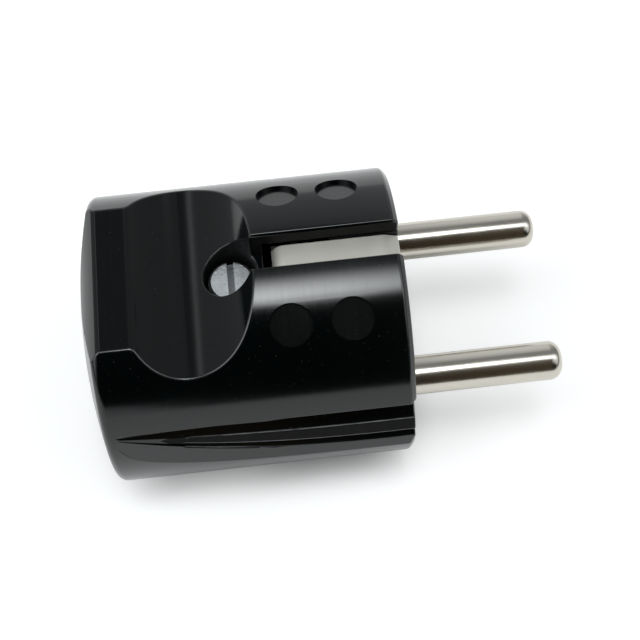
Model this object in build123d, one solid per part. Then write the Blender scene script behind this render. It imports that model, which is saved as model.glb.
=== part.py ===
from build123d import *
import os

# The origin is the centre of the front face. The pins point along +X and lie in the plane z = 0,
# and the two earth contacts face +Z and -Z.

# Contact pins, turned brass
pin_diameter = 4.8
pin_length = 19.0
pin_spacing = 19.0
pin_tip_radius = 1.5
pin_root_diameter = 5.4
pin_root_length = 5.0
terminal_head_diameter = 7.0
terminal_head_length = 8.5
wire_bore_diameter = 3.0
wire_bore_depth = 7.0
terminal_screw_setback = 5.6

# Housing, one moulding that is open at the front
body_diameter = 35.4
body_length = 38.6
rear_dome_radius = 65.0
front_edge_chamfer = 0.6
rear_edge_radius = 1.0
wall_thickness = 2.3
rear_wall_thickness = 3.4
cable_entry_diameter = 9.5
cable_entry_lip = 0.8

# Finger scoops and rear panels, above and below
panel_drop = 2.65
panel_length = 3.7
panel_rear_margin = 1.15
panel_edge_radius = 1.2
panel_rear_radius = 0.9
panel_rear_angle = 45
brow_radius = 9.0
brow_angle = 21
scoop_depth = 5.25
scoop_wall_thickness = 2.85
scoop_setback = 25.5
scoop_front_setback = 16.6
scoop_front_rise = 1.0

# Earth slots, open at the front
slot_width = 4.25
slot_length = 17.2
slot_depth = 4.2
slot_edge_radius = 0.25

# Round dimples beside the upper slot
dimple_diameter = 5.0
dimple_depth = 0.6
dimple_angle = 29.5
dimple_setbacks = [6.5, 13.5]

# Leaf-shaped grip recess on each side, below a level ledge. Each corner is its inset from the body's
# radius and its height above the pins. The sections are drawn at these distances from the recess's tip.
ledge_height = 6.85
recess_length = 36.0
recess_taper_power = 2.5
recess_tip_inset = 1.15
recess_tip_distances = [30.0, 24.0, 18.0, 12.0, 7.0, 3.0, 0.5]
recess_wall_thickness = 1.3
recess_back_foot = 3.9
rib_top = (1.62, 2.45)
rib_bottom = (0.83, 0.78)
groove_bottom = (1.3, 0.45)
flank_top = (0.51, -0.31)
flank_foot = (-4.97, -20.0)

# Earth bracket, one bent strip
strip_thickness = 0.8
contact_width = 4.0
contact_rise = 1.5
web_setback = 14.9
web_width = 7.0
web_end_drop = 2.5
bend_radius = 1.2
nose_length = 1.6
nose_drop = 0.6
nose_setback = 0.1
tab_offset = 6.0
tab_length = 8.5
tab_width = 7.0
earth_screw_setback = 19.3

# Female earth contact, inside the lower leg of the bracket
earth_sleeve_gap = 1.35
earth_sleeve_bore = 4.9
earth_sleeve_wall = 0.4
earth_sleeve_front_setback = 2.4
earth_sleeve_base = 1.0
earth_rivet_diameter = 3.0
earth_rivet_head_diameter = 4.6
earth_rivet_head_height = 0.7

# Fixing screw and its square nut
fixing_screw_setback = 19.9
fixing_screw_diameter = 3.0
fixing_screw_length = 10.0
fixing_head_diameter = 5.5
fixing_head_height = 2.0
fixing_seat_depth = 3.05
fixing_seat_thickness = 1.8
fixing_boss_diameter = 8.0
fixing_head_bore = 6.4
nut_width = 5.5
nut_thickness = 1.8
nut_depth = 4.45

# Small terminal screws
terminal_screw_diameter = 3.0
terminal_screw_grip = 0.7
small_head_diameter = 5.0
small_head_height = 1.6
washer_width = 6.5
washer_thickness = 0.9
earth_screw_tail = 1.6

# Screwdriver slots and crowns of all screw heads
driver_slot_width = 0.8
driver_slot_depth = 0.9
head_chamfer = 0.35

# Pin carrier, a moulded insert
carrier_block_length = 8.0
spine_half_width = 4.0
tray_thickness = 2.8
tray_side_gap = 1.0
pillar_width = 7.0
fixing_bore_depth = 9.6

# Cord clamp
clamp_length = 6.0
clamp_foot_thickness = 2.5
clamp_arch_radius = 4.2
clamp_arch_wall = 2.0
clamp_screw_offset = 8.7
clamp_boss_diameter = 5.0
clamp_screw_diameter = 2.9
clamp_screw_depth = 6.0
saddle_half_width = 5.0

# Clearances, on each side
slide_clearance = 0.15
chamber_clearance = 0.3
bore_clearance = 0.05
nut_clearance = 0.15
overshoot = 1.0

body_radius = body_diameter / 2
rim_setback = body_length - rear_dome_radius + (rear_dome_radius ** 2 - body_radius ** 2) ** 0.5
panel_height = body_radius - panel_drop
scoop_height = body_radius - scoop_depth
slot_floor_height = body_radius - slot_depth
contact_height = slot_floor_height + contact_rise
web_half_height = contact_height - web_end_drop
web_front = strip_thickness - web_setback
pin_offset = pin_spacing / 2
terminal_head_rear = -pin_root_length - terminal_head_length
earth_sleeve_diameter = earth_sleeve_bore + 2 * earth_sleeve_wall
earth_sleeve_offset = contact_height - strip_thickness - earth_sleeve_gap - earth_sleeve_diameter / 2

cavity_radius = body_radius - wall_thickness
cavity_half_width = pin_offset + terminal_head_diameter / 2 + chamber_clearance
cavity_half_height = scoop_height - scoop_wall_thickness
front_chamber_length = web_setback + earth_rivet_head_height + chamber_clearance

carrier_radius = cavity_radius - slide_clearance
carrier_top = cavity_half_height - slide_clearance
carrier_floor = -carrier_top
tray_top = carrier_floor + tray_thickness
tray_half_width = (carrier_radius ** 2 - carrier_floor ** 2) ** 0.5 - tray_side_gap
fixing_head_seat = scoop_height - fixing_seat_depth
fixing_boss_foot = fixing_head_seat - fixing_seat_thickness
pillar_top = fixing_boss_foot - slide_clearance
nut_height = pillar_top - nut_depth
pillar_rear = fixing_screw_setback + pillar_width / 2
clamp_setback = (pillar_rear + body_length - rear_wall_thickness) / 2
clamp_span = (-clamp_setback - clamp_length / 2, clamp_length / 2 - clamp_setback)

ALONG_X = Rot(0, 90, 0)
ALONG_Y = Rot(-90, 0, 0)
FROM_START = (Align.CENTER, Align.CENTER, Align.MIN)


def block(x_span, y_span, z_span):
    spans = (x_span, y_span, z_span)
    centre = [(low + high) / 2 for low, high in spans]
    return Pos(*centre) * Box(*[high - low for low, high in spans])


def rod_x(start, length, diameter, y=0, z=0):
    return Pos(start, y, z) * ALONG_X * Cylinder(diameter / 2, length, align=FROM_START)


def rod_z(x, y, start, length, diameter):
    return Pos(x, y, start) * Cylinder(diameter / 2, length, align=FROM_START)


def both_sides(shape, plane):
    return shape + mirror(shape, about=plane)


def slotted_screw(shank_diameter, shank_length, head_diameter, head_height):
    """A screw along Z with its head's seat at z = 0 and its shank below."""
    head = Cylinder(head_diameter / 2, head_height, align=FROM_START)
    head = chamfer(head.edges().group_by(Axis.Z)[-1], head_chamfer)
    slot_floor = head_height - driver_slot_depth
    half_slot = driver_slot_width / 2
    half_head = head_diameter / 2 + overshoot
    slot = block((-half_slot, half_slot), (-half_head, half_head), (slot_floor, head_height + overshoot))
    shank = Pos(0, 0, -shank_length) * Cylinder(shank_diameter / 2, shank_length, align=FROM_START)
    return head - slot + shank


def scoop_cut():
    """What is cut away above the upper panel and scoop, seen from the side and carried across."""
    high = body_radius + 2 * overshoot
    panel_rear = (panel_rear_margin - rim_setback, panel_height)
    panel_front = (panel_rear[0] + panel_length, panel_height)
    trough = (-scoop_setback, scoop_height)
    scoop_front = (-scoop_front_setback, body_radius + scoop_front_rise)
    edge = JernArc(panel_rear, (-1, 0), panel_rear_radius, panel_rear_angle)
    brow = JernArc(edge @ 1, edge % 1, brow_radius, brow_angle)
    brow_foot = brow @ 1 + panel_drop * (brow % 1)
    behind = -body_length - overshoot
    outline = Curve() + [
        edge,
        brow,
        Polyline(brow @ 1, brow_foot, (behind, brow_foot.Y), (behind, high), (scoop_front[0], high),
                 scoop_front),
        TangentArc(trough, scoop_front, tangent=(1, 0)),
        TangentArc(trough, panel_front, tangent=(-1, 0)),
        Line(panel_front, panel_rear),
    ]
    side_view = make_face(outline.edges())
    panel_edge = side_view.vertices().sort_by_distance((*panel_front, 0))[0]
    side_view = fillet(panel_edge, panel_edge_radius)
    return extrude(Plane.XZ * side_view, body_diameter, both=True)


def slot_cut():
    """The upper earth slot, whose long edges are rounded where they meet the round body."""
    half_slot = slot_width / 2
    mouth = half_slot + slot_edge_radius
    mouth_height = (body_radius ** 2 - mouth ** 2) ** 0.5
    high = body_radius + overshoot
    edge_foot = mouth_height - slot_edge_radius
    right = Curve() + [
        Polyline((0, slot_floor_height), (half_slot, slot_floor_height), (half_slot, edge_foot)),
        TangentArc((half_slot, edge_foot), (mouth, mouth_height), tangent=(0, 1)),
        Polyline((mouth, mouth_height), (mouth, high), (0, high)),
    ]
    across = make_face((right + mirror(right, about=Plane.YZ)).edges())
    return extrude(Plane.YZ.offset(-slot_length) * across, slot_length + overshoot)


def dimple(setback, angle):
    floor = body_radius - dimple_depth
    return Rot(angle, 0, 0) * rod_z(-setback, 0, floor, dimple_depth + overshoot, dimple_diameter)


def recess_section(setback):
    """The recess across the plug, drawn in towards the tip the further back it lies."""
    scale = 1 - (max(setback, 0) / recess_length) ** recess_taper_power
    tip_reach = body_radius - recess_tip_inset
    outer = body_radius - flank_foot[0] + overshoot
    back_reach = cavity_half_width + recess_wall_thickness
    corners = [(outer, ledge_height), (back_reach, ledge_height), (back_reach, recess_back_foot)]
    for inset, height in (rib_top, rib_bottom, groove_bottom, flank_top, flank_foot):
        corners.append((body_radius - inset, height))
    corners.append((outer, flank_foot[1]))
    points = [(-setback, tip_reach + (reach - tip_reach) * scale,
               ledge_height + (height - ledge_height) * scale) for reach, height in corners]
    return make_face(Polyline(*points, close=True).edges())


def grip_recess():
    """One recess, open at the front, that narrows to a point near the rear."""
    setbacks = [-overshoot] + [recess_length - distance for distance in recess_tip_distances]
    return loft([recess_section(setback) for setback in setbacks])


def cavity():
    """The hollow of the housing: a high front chamber and a lower rear one."""
    depth = body_length - rear_wall_thickness
    bore = rod_x(-depth, depth + overshoot, 2 * cavity_radius)
    width = (-cavity_half_width, cavity_half_width)
    front = block((-front_chamber_length, overshoot), width, (-cavity_radius, cavity_radius))
    rear = block((-depth, overshoot), width, (-cavity_half_height, cavity_half_height))
    return bore & (front + rear)


def body_form():
    """The round outside, with a broken front edge and a slightly domed rear, turned about the X axis."""
    rear_centre = (-body_length, 0)
    rim = (-rim_setback, body_radius)
    dome = RadiusArc(rear_centre, rim, rear_dome_radius)
    sides = Polyline(rim, (-front_edge_chamfer, body_radius), (0, body_radius - front_edge_chamfer), (0, 0),
                     rear_centre)
    half_view = make_face((Curve() + [dome, sides]).edges())
    half_view = fillet(half_view.vertices().sort_by_distance((*rim, 0))[0], rear_edge_radius)
    return revolve(half_view, Axis.X)


def housing():
    body = body_form()
    body -= both_sides(scoop_cut(), Plane.XY)
    body -= cavity()

    body -= both_sides(slot_cut(), Plane.XY)

    seat = fixing_head_seat
    x = -fixing_screw_setback
    body += rod_z(x, 0, fixing_boss_foot, scoop_height - fixing_boss_foot, fixing_boss_diameter)
    body -= rod_z(x, 0, seat, body_radius - seat, fixing_head_bore)
    body -= rod_z(x, 0, 0, seat, fixing_screw_diameter + 2 * slide_clearance)

    for setback in dimple_setbacks:
        for angle in (-dimple_angle, dimple_angle):
            body -= dimple(setback, angle)

    body -= both_sides(grip_recess(), Plane.XZ)

    entry_radius = cable_entry_diameter / 2
    behind = -body_length - overshoot
    entry = rod_x(behind, rear_wall_thickness + 2 * overshoot, cable_entry_diameter)
    lip_length = cable_entry_lip + overshoot
    lip = Cone(entry_radius + lip_length, entry_radius, lip_length, align=FROM_START)
    return body - entry - Pos(behind, 0, 0) * ALONG_X * lip


def pin(y):
    """A solid pin on a root that fills the carrier's bore, with a bored head for the wire behind it."""
    shank = rod_x(0, pin_length, pin_diameter, y)
    shank = fillet(shank.edges().filter_by(GeomType.CIRCLE).sort_by(Axis.X)[-1], pin_tip_radius)
    root = rod_x(-pin_root_length, pin_root_length, pin_root_diameter, y)
    head = rod_x(terminal_head_rear, terminal_head_length, terminal_head_diameter, y)
    wire_bore = rod_x(terminal_head_rear, wire_bore_depth, wire_bore_diameter, y)
    cross_hole = rod_z(-pin_root_length - terminal_screw_setback, y, 0, terminal_head_diameter,
                       terminal_screw_diameter + 2 * bore_clearance)
    return shank + root + head - wire_bore - cross_hole


def terminal_screw(y):
    """Stands in the pin's cross hole with its tip at the top of the wire bore."""
    tip = wire_bore_diameter / 2
    seat = terminal_head_diameter / 2 + terminal_screw_grip
    screw = slotted_screw(terminal_screw_diameter, seat - tip, small_head_diameter, small_head_height)
    return Pos(-pin_root_length - terminal_screw_setback, y, seat) * screw


def earth_bracket():
    """A strip bent to a U round the carrier, with a nose at each front end and a tab at one side."""
    half = strip_thickness / 2
    centre = contact_height - half
    web_x = half - web_setback
    nose_tip = -nose_setback
    bend_x = nose_tip - nose_length
    path = FilletPolyline(
        (nose_tip, centre - nose_drop),
        (bend_x, centre),
        (web_x, centre),
        (web_x, -centre),
        (bend_x, -centre),
        (nose_tip, nose_drop - centre),
        radius=bend_radius,
    )
    strip = extrude(Plane.XZ * trace(path, strip_thickness), contact_width / 2, both=True)
    web = block((-web_setback, web_front), (-web_width / 2, web_width / 2),
                (-web_half_height, web_half_height))
    tab_path = FilletPolyline((web_x, 0), (web_x, tab_offset), (web_x - tab_length, tab_offset),
                              radius=bend_radius)
    tab = extrude(trace(tab_path, strip_thickness), tab_width / 2, both=True)
    bracket = strip + web + tab
    screw_hole = Pos(-earth_screw_setback, tab_offset, 0) * ALONG_Y * Cylinder(
        terminal_screw_diameter / 2 + bore_clearance, 2 * strip_thickness)
    rivet_hole = rod_x(-web_setback - half, 2 * strip_thickness,
                       earth_rivet_diameter + 2 * bore_clearance, z=-earth_sleeve_offset)
    return bracket - screw_hole - rivet_hole


def earth_sleeve():
    """A sleeve with a solid base, riveted through the bracket's web."""
    z = -earth_sleeve_offset
    length = -earth_sleeve_front_setback - web_front
    sleeve = rod_x(web_front, length, earth_sleeve_diameter, z=z)
    sleeve -= rod_x(web_front + earth_sleeve_base, length, earth_sleeve_bore, z=z)
    rivet = rod_x(-web_setback, strip_thickness, earth_rivet_diameter, z=z)
    rivet_head = rod_x(-web_setback - earth_rivet_head_height, earth_rivet_head_height,
                       earth_rivet_head_diameter, z=z)
    return sleeve + rivet + rivet_head


def earth_clamp_washer():
    inner = tab_offset + strip_thickness / 2
    half = washer_width / 2
    washer = block((-half - earth_screw_setback, half - earth_screw_setback),
                   (inner, inner + washer_thickness), (-half, half))
    hole = Pos(-earth_screw_setback, inner, 0) * ALONG_Y * Cylinder(
        terminal_screw_diameter / 2 + bore_clearance, 2 * washer_thickness)
    return washer - hole


def earth_terminal_screw():
    seat = tab_offset + strip_thickness / 2 + washer_thickness
    length = washer_thickness + strip_thickness + earth_screw_tail
    screw = slotted_screw(terminal_screw_diameter, length, small_head_diameter, small_head_height)
    return Pos(-earth_screw_setback, seat, 0) * ALONG_Y * screw


def fixing_nut():
    nut = Box(nut_width, nut_width, nut_thickness, align=FROM_START)
    hole = rod_z(0, 0, 0, nut_thickness, fixing_screw_diameter + 2 * bore_clearance)
    return Pos(-fixing_screw_setback, 0, nut_height) * (nut - hole)


def fixing_screw():
    screw = slotted_screw(fixing_screw_diameter, fixing_screw_length, fixing_head_diameter,
                          fixing_head_height)
    return Pos(-fixing_screw_setback, 0, fixing_head_seat) * screw


def carrier_body():
    """Front block, spine behind it, tray to the rear and the pillar for the fixing screw."""
    half_width = cavity_half_width - slide_clearance
    front = rod_x(-carrier_block_length, carrier_block_length, 2 * carrier_radius)
    front &= block((-carrier_block_length, 0), (-half_width, half_width), (-carrier_radius, carrier_radius))
    half_slot = slot_width / 2
    groove = block((-carrier_block_length, overshoot), (-half_slot, half_slot),
                   (slot_floor_height, body_radius))
    front -= both_sides(groove, Plane.XY)
    spine = block((web_front + slide_clearance, -carrier_block_length),
                  (-spine_half_width, spine_half_width), (carrier_floor, carrier_top))
    tray_rear = rear_wall_thickness + slide_clearance - body_length
    tray = block((tray_rear, -carrier_block_length), (-tray_half_width, tray_half_width),
                 (carrier_floor, tray_top))
    half_pillar = pillar_width / 2
    pillar = block((-fixing_screw_setback - half_pillar, half_pillar - fixing_screw_setback),
                   (-half_pillar, half_pillar), (tray_top, pillar_top))
    return front + spine + tray + pillar


def pin_carrier():
    carrier = carrier_body()

    for y in (-pin_offset, pin_offset):
        carrier -= rod_x(-carrier_block_length, carrier_block_length + overshoot,
                         pin_root_diameter + 2 * bore_clearance, y)
        carrier -= rod_x(-carrier_block_length, carrier_block_length - pin_root_length,
                         terminal_head_diameter + 2 * bore_clearance, y)

    carrier -= rod_x(web_front, overshoot - web_front, earth_sleeve_diameter + 2 * bore_clearance,
                     z=-earth_sleeve_offset)

    half_web = web_width / 2 + slide_clearance
    rivet_room = earth_rivet_head_height + slide_clearance
    carrier -= block((-web_setback - rivet_room, web_front + slide_clearance), (-half_web, half_web),
                     (carrier_floor - overshoot, tray_top + overshoot))

    x = -fixing_screw_setback
    carrier -= rod_z(x, 0, pillar_top - fixing_bore_depth, fixing_bore_depth + overshoot,
                     fixing_screw_diameter + 2 * slide_clearance)
    half_nut = nut_width / 2 + nut_clearance
    carrier -= block((x - pillar_width, x + half_nut), (-half_nut, half_nut),
                     (nut_height, nut_height + nut_thickness + nut_clearance))

    for y in (-clamp_screw_offset, clamp_screw_offset):
        carrier += rod_z(-clamp_setback, y, tray_top, -tray_top, clamp_boss_diameter)
        carrier -= rod_z(-clamp_setback, y, -clamp_screw_depth, clamp_screw_depth,
                         clamp_screw_diameter + 2 * bore_clearance)
    saddle = block(clamp_span, (-saddle_half_width, saddle_half_width), (tray_top, 0))
    return carrier + saddle - rod_x(clamp_span[0], clamp_length, 2 * clamp_arch_radius)


def cord_clamp():
    """An arched bar that holds the cord down on the tray, with a foot on each boss."""
    outer = clamp_arch_radius + clamp_arch_wall
    half_span = clamp_screw_offset + clamp_boss_diameter / 2
    feet = block(clamp_span, (-half_span, half_span), (0, clamp_foot_thickness))
    arch = rod_x(clamp_span[0], clamp_length, 2 * outer)
    arch &= block(clamp_span, (-outer, outer), (0, outer))
    clamp = feet + arch - rod_x(clamp_span[0], clamp_length, 2 * clamp_arch_radius)
    for y in (-clamp_screw_offset, clamp_screw_offset):
        clamp -= rod_z(-clamp_setback, y, 0, clamp_foot_thickness, clamp_screw_diameter + 2 * bore_clearance)
    return clamp


def cord_clamp_screw(y):
    length = clamp_foot_thickness + clamp_screw_depth - slide_clearance
    screw = slotted_screw(clamp_screw_diameter, length, small_head_diameter, small_head_height)
    return Pos(-clamp_setback, y, clamp_foot_thickness) * screw


nodes = {
    "housing": housing(),
    "pin_carrier": pin_carrier(),
    "line_pin": pin(-pin_offset),
    "neutral_pin": pin(pin_offset),
    "line_terminal_screw": terminal_screw(-pin_offset),
    "neutral_terminal_screw": terminal_screw(pin_offset),
    "earth_bracket": earth_bracket(),
    "earth_sleeve": earth_sleeve(),
    "earth_clamp_washer": earth_clamp_washer(),
    "earth_terminal_screw": earth_terminal_screw(),
    "housing_screw": fixing_screw(),
    "housing_nut": fixing_nut(),
    "cord_clamp": cord_clamp(),
    "cord_clamp_screw_near": cord_clamp_screw(-clamp_screw_offset),
    "cord_clamp_screw_far": cord_clamp_screw(clamp_screw_offset),
}

os.makedirs("parts", exist_ok=True)
for name, shape in nodes.items():
    export_step(shape, f"parts/{name}.step")
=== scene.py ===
import math

import bmesh
import bpy
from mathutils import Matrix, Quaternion, Vector
from mathutils.bvhtree import BVHTree
from mathutils.geometry import barycentric_transform


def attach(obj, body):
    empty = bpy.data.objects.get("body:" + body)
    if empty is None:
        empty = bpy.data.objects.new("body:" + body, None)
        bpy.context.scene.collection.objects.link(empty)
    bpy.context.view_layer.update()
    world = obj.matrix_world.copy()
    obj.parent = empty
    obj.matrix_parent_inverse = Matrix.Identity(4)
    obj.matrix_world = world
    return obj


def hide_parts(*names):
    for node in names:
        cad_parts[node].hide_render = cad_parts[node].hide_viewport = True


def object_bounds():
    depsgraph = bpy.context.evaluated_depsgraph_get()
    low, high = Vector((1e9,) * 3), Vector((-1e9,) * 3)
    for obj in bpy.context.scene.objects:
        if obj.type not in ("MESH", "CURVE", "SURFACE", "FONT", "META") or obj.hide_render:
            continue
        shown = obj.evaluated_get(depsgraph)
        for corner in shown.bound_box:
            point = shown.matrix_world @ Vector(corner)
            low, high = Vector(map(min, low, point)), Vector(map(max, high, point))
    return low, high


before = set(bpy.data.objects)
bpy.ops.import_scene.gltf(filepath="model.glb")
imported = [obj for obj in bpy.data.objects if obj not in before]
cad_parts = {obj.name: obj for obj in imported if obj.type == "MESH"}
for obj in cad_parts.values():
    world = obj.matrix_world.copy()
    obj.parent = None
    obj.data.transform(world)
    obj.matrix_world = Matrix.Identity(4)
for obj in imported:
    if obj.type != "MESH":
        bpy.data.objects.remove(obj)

cad_low, cad_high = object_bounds()

# The two contact pins are turned from solid brass and plated with bright nickel.
# The tool's fine rings still show in the plating. Each pin is pressed into the carrier from behind.
nickel_colour = (0.56, 0.53, 0.47, 1)
plating_patch = 0.003
tool_mark_pitch = 0.0002
tool_mark_depth = 0.000002


class Signal:
    """An output of a node tree. Arithmetic on it adds Math nodes."""

    def __init__(self, tree, socket=None):
        self.tree = tree
        self.socket = socket

    def node(self, kind, settings=(), values=(), output=0):
        """Adds a node of this type, with its settings and the values or links of its sockets."""
        made = self.tree.nodes.new("ShaderNode" + kind)
        for name, value in dict(settings).items():
            setattr(made, name, value)
        for name, value in dict(values).items():
            if isinstance(value, Signal):
                self.tree.links.new(value.socket, made.inputs[name])
            else:
                made.inputs[name].default_value = value
        return Signal(self.tree, made.outputs[output] if made.outputs else None)

    def math(self, operation, *operands):
        return self.node("Math", {"operation": operation}, enumerate(operands))

    def __add__(self, other):
        return self.math("ADD", self, other)

    def __mul__(self, other):
        return self.math("MULTIPLY", self, other)

    def __sub__(self, other):
        return self.math("SUBTRACT", self, other)

    def __rsub__(self, other):
        return self.math("SUBTRACT", other, self)

    def __abs__(self):
        return self.math("ABSOLUTE", self)

    __radd__ = __add__
    __rmul__ = __mul__

    def ease(self, start, end):
        """Rises softly from 0 to 1 between two values."""
        return self.node("MapRange", {"interpolation_type": "SMOOTHSTEP"},
                         {"Value": self, "From Min": start, "From Max": end})


def new_finish(name):
    """An empty material, the start of its node tree, and its Object coordinates."""
    material = bpy.data.materials.new(name)
    material.use_nodes = True
    material.node_tree.nodes.clear()
    tree = Signal(material.node_tree)
    return material, tree, tree.node("TexCoord", output="Object")


def along(place, axis):
    return place.node("SeparateXYZ", values={"Vector": place}, output=axis)


def cloud(place, size, detail=2.0):
    """Cloudy variation from 0 to 1, with patches of about this size in metres."""
    return place.node("TexNoise", values={"Vector": place, "Scale": 1 / size, "Detail": detail})


def rings(place, axis, pitch):
    """Uneven rings from 0 to 1 that follow each other along one axis, as a lathe tool leaves them."""
    return place.node("TexNoise", {"noise_dimensions": "1D"},
                      {"W": along(place, axis), "Scale": 1 / pitch, "Detail": 3.0})


def relief(tree, height, depth):
    return tree.node("Bump", values={"Height": height, "Distance": depth})


def close_finish(tree, values):
    surface = tree.node("BsdfPrincipled", values=values)
    tree.node("OutputMaterial", values={"Surface": surface})


def dress(node, material):
    """Gives a node of the frame its finish."""
    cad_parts[node].data.materials.clear()
    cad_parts[node].data.materials.append(material)


def turned_nickel():
    material, tree, place = new_finish("bright_nickel")
    close_finish(tree, {
        "Base Color": nickel_colour,
        "Metallic": 1.0,
        "Roughness": 0.17 + 0.08 * cloud(place, plating_patch),
        "Normal": relief(tree, rings(place, "X", tool_mark_pitch), tool_mark_depth),
    })
    return material


bright_nickel = turned_nickel()
for node in ("line_pin", "neutral_pin"):
    dress(node, bright_nickel)

# Two small slotted screws of zinc-plated steel clamp the wires in the bored heads of the pins.
# They are turned down through the cross holes. All screws of the plug have the same bright plate, and the
# driver slot of the fixing screw, the one that shows, is coloured darker partway down.
zinc_colour = (0.76, 0.79, 0.81, 1)
slot_dark_colour = (0.30, 0.31, 0.32, 1)
zinc_grain_size = 0.00035
zinc_grain_depth = 0.00004
fixing_screw_x = -0.0199
driver_slot_edge = (0.00037, 0.00043)
slot_dark_from = (0.009, 0.01)
slot_dark_fade = (0.0107, 0.0113)


def mixed(share, base, other):
    """The base colour with a share of another. A Mix node's colours are inputs 6 and 7 and output 2."""
    return share.node("Mix", {"data_type": "RGBA"}, {0: share, 6: base, 7: other}, output=2)


def zinc_plate():
    material, tree, place = new_finish("bright_zinc")
    grain = cloud(place, zinc_grain_size, 4.0)
    off_slot = abs(along(place, "X") - fixing_screw_x)
    height = along(place, "Z")
    # The driver slot of the fixing screw is coloured darker partway down.
    in_driver_slot = ((1 - off_slot.ease(*driver_slot_edge)) * (1 - height.ease(*slot_dark_fade))
                      * height.ease(*slot_dark_from))
    close_finish(tree, {
        "Base Color": mixed(in_driver_slot, zinc_colour, slot_dark_colour),
        "Metallic": 1.0,
        "Roughness": 0.26 + 0.22 * grain,
        "Normal": relief(tree, grain, zinc_grain_depth),
    })
    return material


bright_zinc = zinc_plate()
for node in ("line_terminal_screw", "neutral_terminal_screw"):
    dress(node, bright_zinc)

# The earth bracket is one strip of brass, stamped, bent round the carrier and plated with satin nickel.
# Its legs lie in the open slots. The female earth contact is riveted through its web.
satin_colour = (0.70, 0.68, 0.615, 1)
satin_patch = 0.002
satin_grain_size = 0.0004
satin_grain_depth = 0.000003
bracket_edge_radius = 0.00012
bracket_sharp_angle = math.radians(25)
weld_distance = 0.000001
flat_angle = math.radians(0.2)
crease_angle = math.radians(50)
corner_inset = 0.03
touching = 0.00002
same_way = 0.8


def shade_as_solid(mesh, solid):
    """Lets the faces that the rounding left alone shade as the solid's own flat and round faces do."""
    solid.calc_loop_triangles()
    parts = solid.loop_triangles
    spots = [vert.co for vert in solid.vertices]
    surface = BVHTree.FromPolygons(spots, [part.vertices for part in parts])
    wear_and_highlight_marks = mesh.attributes["edge_wear_and_highlight"].data
    normals = [corner.vector.copy() for corner in mesh.corner_normals]
    for face in mesh.polygons:
        for corner, vert in zip(face.loop_indices, face.vertices):
            inside = mesh.vertices[vert].co.lerp(face.center, corner_inset)
            spot, facing, index, gap = surface.find_nearest(inside)
            if wear_and_highlight_marks[vert].value == 0 and gap < touching and facing.dot(face.normal) > same_way:
                corners = [spots[i] for i in parts[index].vertices]
                facings = [solid.corner_normals[i].vector for i in parts[index].loops]
                normals[corner] = barycentric_transform(spot, *corners, *facings).normalized()
    mesh.normals_split_custom_set(normals)


def eased_copy(node, name, edge_radius, sharp_angle, kept_sharp=None):
    """A welded copy of a node whose sharp outer edges are rounded off, as on the real piece."""
    mesh = bpy.data.meshes.new(name)
    shape = bmesh.new()
    shape.from_mesh(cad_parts[node].data)
    wear_and_highlight_marks = shape.verts.layers.float.new("edge_wear_and_highlight")
    bmesh.ops.remove_doubles(shape, verts=shape.verts, dist=weld_distance)
    bmesh.ops.dissolve_limit(shape, angle_limit=flat_angle, verts=shape.verts, edges=shape.edges)
    sharp = [edge for edge in shape.edges
             if edge.calc_face_angle(0) > sharp_angle and edge.is_convex]
    rounded = [edge for edge in sharp
               if not (kept_sharp and any(kept_sharp(vert.co) for vert in edge.verts))]
    made = bmesh.ops.bevel(shape, geom=rounded, offset=edge_radius, offset_type="OFFSET", segments=2,
                           profile=0.5, affect="EDGES", clamp_overlap=False, material=-1)
    # The rounding is marked, and the finish lightens it as wear, and on the recess ribs as a painted
    # highlight.
    for vert in made["verts"]:
        vert[wear_and_highlight_marks] = all(face in made["faces"] for face in vert.link_faces)
    bmesh.ops.triangulate(shape, faces=shape.faces)
    for face in shape.faces:
        face.smooth = True
    for edge in shape.edges:
        edge.smooth = edge.calc_face_angle(0) < crease_angle
    shape.to_mesh(mesh)
    shape.free()
    piece = bpy.data.objects.new(name, mesh)
    bpy.context.scene.collection.objects.link(piece)
    shade_as_solid(mesh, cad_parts[node].data)
    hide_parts(node)
    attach(piece, "root")
    return piece


def satin_plate():
    material, tree, place = new_finish("satin_nickel")
    close_finish(tree, {
        "Base Color": satin_colour,
        "Metallic": 0.8,
        "Roughness": 0.40 + 0.10 * cloud(place, satin_patch),
        "Normal": relief(tree, cloud(place, satin_grain_size), satin_grain_depth),
    })
    return material


satin_nickel = satin_plate()
bracket = eased_copy("earth_bracket", "stamped_earth_bracket", bracket_edge_radius,
                     bracket_sharp_angle)
bracket.data.materials.append(satin_nickel)
dress("earth_sleeve", satin_nickel)

# A square washer and a slotted screw clamp the earth wire on the bracket's tab.
# Both are steel with bright zinc plate, and the washer is stamped from sheet.
for node in ("earth_clamp_washer", "earth_terminal_screw"):
    dress(node, bright_zinc)

# The pin carrier closes the front of the plug and holds the pins, the bracket and the cord clamp.
# It is a plain black moulding of hard plastic, with the dull skin of its mould.
carrier_colour = (0.006, 0.0062, 0.0065, 1)
carrier_patch = 0.004
mould_grain_size = 0.0002
mould_grain_depth = 0.000004


def dull_moulding():
    material, tree, place = new_finish("dull_moulding")
    close_finish(tree, {
        "Base Color": carrier_colour,
        "Roughness": 0.40 + 0.12 * cloud(place, carrier_patch),
        "Normal": relief(tree, cloud(place, mould_grain_size), mould_grain_depth),
    })
    return material


dull_plastic = dull_moulding()
dress("pin_carrier", dull_plastic)

# The square nut for the fixing screw is stamped from steel, tapped and zinc plated.
# It is slid into the carrier's pillar, which keeps it from turning.
dress("housing_nut", bright_zinc)

# The cord clamp is a small arched moulding of the same dull plastic as the carrier.
# Two zinc-plated steel screws draw it down on the cord.
dress("cord_clamp", dull_plastic)
for node in ("cord_clamp_screw_near", "cord_clamp_screw_far"):
    dress(node, bright_zinc)
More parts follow.
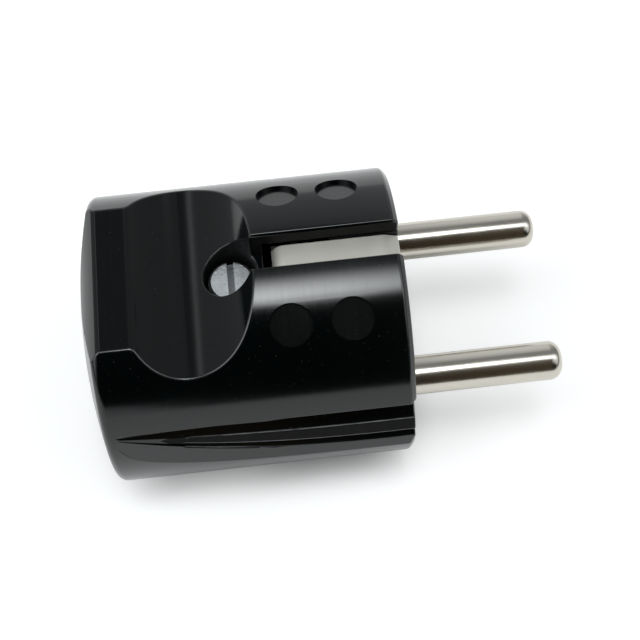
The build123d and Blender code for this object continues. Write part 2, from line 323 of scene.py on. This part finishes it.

# The housing is one glossy black moulding, slipped over the carrier from behind.
# Its edges are a little rounded by the mould and rubbed by hands, and the edges of the ribs in the side
# recesses carry a painted highlight. Its skin is polished but not quite even. The narrow places that a
# polisher can't reach are dull.
plastic_colour = (0.0004, 0.0013, 0.0015, 1)
unpolished_colour = (0.0020, 0.0021, 0.0022, 1)
rub_dust_and_highlight_colour = (0.30, 0.31, 0.32, 1)
rub_and_highlight_patch = 0.0015
dust_size = 0.00025
polish_pitch = 0.0005
skin_patch = 0.006
skin_wave = 0.003
skin_wave_depth = 0.000004
unpolished_patch = 0.001
housing_edge_radius = 0.0002
housing_sharp_angle = math.radians(20)
dimple_tilt = math.radians(29.5)
dimple_setbacks = (0.0065, 0.0135)
dimple_radius = 0.0025
dimple_floor = 0.0172
upper_side = (0.01, 0.011)
rim_width = 0.0001
slot_half_width = 0.002125
slot_length = 0.0172
bore_inner, bore_outer = 0.0029, 0.0033
rib_root = (0.0145, 0.015)
rib_edge = (0.01692, 0.01697)
rib_run = (-0.029, -0.020)
rib_underside = (0.0004, 0.0006)
rib_top = (0.006, 0.0065)
rib_inner, rib_outer = 0.0145, 0.0171
rib_low, rib_high = 0.0005, 0.0068
rib_tip_x = -0.0295
rib_lean = 0.6
square_on = 0.99
upright = 0.3
recess_tip_x = -0.029
recess_tip_reach = 0.0125
recess_tip_low, recess_tip_high = -0.009, 0.0095


def glossy_moulding():
    material, tree, place = new_finish("glossy_moulding")
    length, across, height = (along(place, axis) for axis in "XYZ")
    aside = abs(across)
    sideways = aside * math.cos(dimple_tilt) - height * math.sin(dimple_tilt)
    outward = aside * math.sin(dimple_tilt) + height * math.cos(dimple_tilt)
    sunk = (1 - outward.ease(dimple_floor, dimple_floor + rim_width)) * height.ease(*upper_side)
    floor_edge = ((dimple_radius - rim_width) ** 2, dimple_radius ** 2)
    in_dimple = 0
    for setback in dimple_setbacks:
        lengthways = length + setback
        off_middle = lengthways * lengthways + sideways * sideways
        in_dimple = in_dimple + sunk * (1 - off_middle.ease(*floor_edge))
    # Painted highlight: the rounded edges of the ribs in the side recesses are lightened far more than real
    # wear.
    rib_highlight_area = (aside.ease(*rib_root) * (1 - aside.ease(*rib_edge)) * length.ease(*rib_run)
              * height.ease(*rib_underside) * (1 - height.ease(*rib_top)))
    rub_and_highlight = tree.node("Attribute", {"attribute_name": "edge_wear_and_highlight"}, output="Fac") * cloud(place, rub_and_highlight_patch)
    dust = cloud(place, dust_size, 0.0).ease(0.80, 0.84)
    polish = rings(place, "X", polish_pitch)
    # The colour is lightened by edge wear, by dust specks and by the painted highlight on the rib edges.
    close_finish(tree, {
        "Base Color": mixed((0.10 + 1.3 * rib_highlight_area) * rub_and_highlight + 0.05 * dust, plastic_colour, rub_dust_and_highlight_colour),
        "Roughness": 0.09 + 0.05 * cloud(place, skin_patch) + 0.05 * polish + 0.08 * in_dimple,
        "Normal": relief(tree, cloud(place, skin_wave, 1.0) + 0.1 * polish, skin_wave_depth),
    })
    return material


def unpolished_moulding():
    material, tree, place = new_finish("unpolished_moulding")
    close_finish(tree, {
        "Base Color": unpolished_colour,
        "Specular IOR Level": 0.15,
        "Roughness": 0.55 + 0.15 * cloud(place, unpolished_patch),
        "Normal": relief(tree, cloud(place, mould_grain_size), mould_grain_depth),
    })
    return material


def left_crisp(spot):
    """The thin ends of the grip recesses, where the edges run out to nothing, and the rims of the dimples."""
    beside = abs(spot.y)
    if spot.x < recess_tip_x and beside > recess_tip_reach and recess_tip_low < spot.z < recess_tip_high:
        return True
    sideways = beside * math.cos(dimple_tilt) - spot.z * math.sin(dimple_tilt)
    off_middles = [math.hypot(spot.x + setback, sideways) for setback in dimple_setbacks]
    on_rim = any(abs(off_middle - dimple_radius) < rim_width for off_middle in off_middles)
    return on_rim and spot.z > upper_side[0]


housing = eased_copy("housing", "moulded_housing", housing_edge_radius, housing_sharp_angle,
                     left_crisp)
housing.data.materials.append(glossy_moulding())
housing.data.materials.append(unpolished_moulding())
for face in housing.data.polygons:
    spot = face.center
    facing = face.normal
    beside = abs(spot.y)
    off_screw = math.hypot(spot.x - fixing_screw_x, spot.y)
    slot_side = abs(facing.y) > square_on and abs(beside - slot_half_width) < touching
    slot_end = facing.x > square_on and abs(spot.x + slot_length) < touching
    screw_bore = abs(facing.z) < upright and bore_inner < off_screw < bore_outer
    rib_face = (abs(facing.y) > same_way and upright < facing.z < rib_lean and rib_inner < beside < rib_outer
                and rib_low < spot.z < rib_high and spot.x > rib_tip_x)
    face.material_index = int(slot_side or slot_end or screw_bore or rib_face)

# The fixing screw is slotted steel with bright zinc plate. Its head sits deep in the upper scoop,
# and its shank runs through the housing into the nut, so that it holds the plug together.
dress("housing_screw", bright_zinc)

# The floor is a wide white sheet, which fills the picture in views from 15 degrees up.
# Its own glow tops it up to white where it is seen or mirrored, but less so under and close to the plug,
# where the sheet lies in the plug's shadow.
floor_half_size = 30.0
floor_colour = (0.72, 0.72, 0.72, 1)
floor_glow = 0.44
shadow_reach = 0.007
mirrored_shadow_reach = 0.03

floor_mesh = bpy.data.meshes.new("floor")
floor_shape = bmesh.new()
bmesh.ops.create_grid(floor_shape, size=floor_half_size)
bmesh.ops.translate(floor_shape, verts=floor_shape.verts, vec=(0, 0, cad_low.z))
floor_shape.to_mesh(floor_mesh)
floor_shape.free()
floor = bpy.data.objects.new("floor", floor_mesh)
bpy.context.scene.collection.objects.link(floor)
floor_paper, sheet = new_finish("floor_paper")[:2]
seen, *mirrored = (sheet.node("LightPath", output=kind)
                   for kind in ("Is Camera Ray", "Is Glossy Ray", "Is Transmission Ray"))
close_by, around = (sheet.node("AmbientOcclusion", values={"Distance": reach}, output="AO")
                    for reach in (shadow_reach, mirrored_shadow_reach))
lit = seen * close_by.ease(0.3, 1.0) + sum(mirrored) * around.ease(0.5, 1.0)
paper = sheet.node("BsdfDiffuse", values={"Color": floor_colour})
glow = sheet.node("Emission", values={"Color": floor_glow * lit})
both = sheet.node("AddShader", values={0: paper, 1: glow})
sheet.node("OutputMaterial", values={"Surface": both})
floor_mesh.materials.append(floor_paper)

# The studio is a soft overhead panel with a brighter middle, two wide side panels, a dim far wall with a
# window, a low white card at the near left and a dark, warm near side. Each light is a strength times the
# soft limits of its place, and right, away and up run from -1 to 1.
cool_white = (0.95, 0.985, 1.0, 1)
warm_white = (1.0, 0.76, 0.46, 1)
overhead_strength = 2.4
overhead_middle = 12.0
left_strength = 1.9
right_strength = 0.9

world = bpy.data.worlds.new("studio")
bpy.context.scene.world = world
world.use_nodes = True
world.node_tree.nodes.clear()
sky = Signal(world.node_tree)
direction = sky.node("TexCoord", output="Generated")
right, away, up = (along(direction, axis) for axis in "XYZ")


def light_line(middle, width):
    """1 at the middle of a soft line of light, fading over the width to both sides."""
    offset = (right - middle) * (1 / width)
    fall = offset * offset * -1.0
    return fall.math("EXPONENT", fall)


front_side = right.ease(0.09, 0.14) * (1 - right.ease(0.24, 0.30))
far_wall = away.ease(0.02, 0.35) * (0.15 + 0.14 * right.ease(-0.11, 0.0) + 0.30 * away.ease(0.6, 0.9)
                                    + 0.4 * front_side * away.ease(0.5, 0.65))
window = away.ease(0.3, 0.42) * (0.25 * (1 - right.ease(-0.4, -0.22)) + 0.9 * light_line(-0.30, 0.05))
overhead = (away.ease(-0.30, -0.16) * (1 - away.ease(-0.16, 0.18)) * up.ease(0.5, 0.7)
            * (overhead_strength + overhead_middle * light_line(0.0, 0.11)))
sides = (abs(right).ease(0.28, 0.45) * up.ease(0.1, 0.3) * (1 - away.ease(0.05, 0.3)) * away.ease(-0.7, -0.45)
         * (left_strength - (left_strength - right_strength) * right.ease(0.0, 0.3)))
card = ((1 - away.ease(-0.55, -0.4)) * (1 - (up + 2.4 * right).ease(-0.195, -0.175))
        * (1 - up.ease(0.13, 0.15)))
dusk = (1 - away.ease(-0.3, 0.0)) * (0.01 + 0.07 * front_side)
cool_light = sky.node("Background", values={
    "Color": cool_white, "Strength": far_wall + window + overhead + sides + card})
warm_dusk = sky.node("Background", values={"Color": warm_white, "Strength": dusk})
studio = sky.node("AddShader", values={0: cool_light, 1: warm_dusk})
sky.node("OutputWorld", values={"Surface": studio})

# The camera stands where the photograph was taken from, above the near side and looking down.
# Its place, aim, roll and focal length are fitted to the pins, the slot and the outline of the plug.
camera_place = Vector((-0.014698, -0.073431, 0.141851))
camera_aim = Vector((-0.009716, -0.000544, 0))
camera_roll = Quaternion((0, 0, 1), math.radians(-2.74))
lens = bpy.data.cameras.new("camera")
lens.sensor_width = 36.0
lens.lens = 71.56
lens.clip_start = 0.005
camera = bpy.data.objects.new("camera", lens)
camera.rotation_mode = "QUATERNION"
camera.location = camera_place
camera.rotation_quaternion = (camera_aim - camera_place).to_track_quat("-Z", "Y") @ camera_roll
bpy.context.scene.collection.objects.link(camera)
bpy.context.scene.camera = camera
bpy.context.scene.view_settings.view_transform = "Standard"
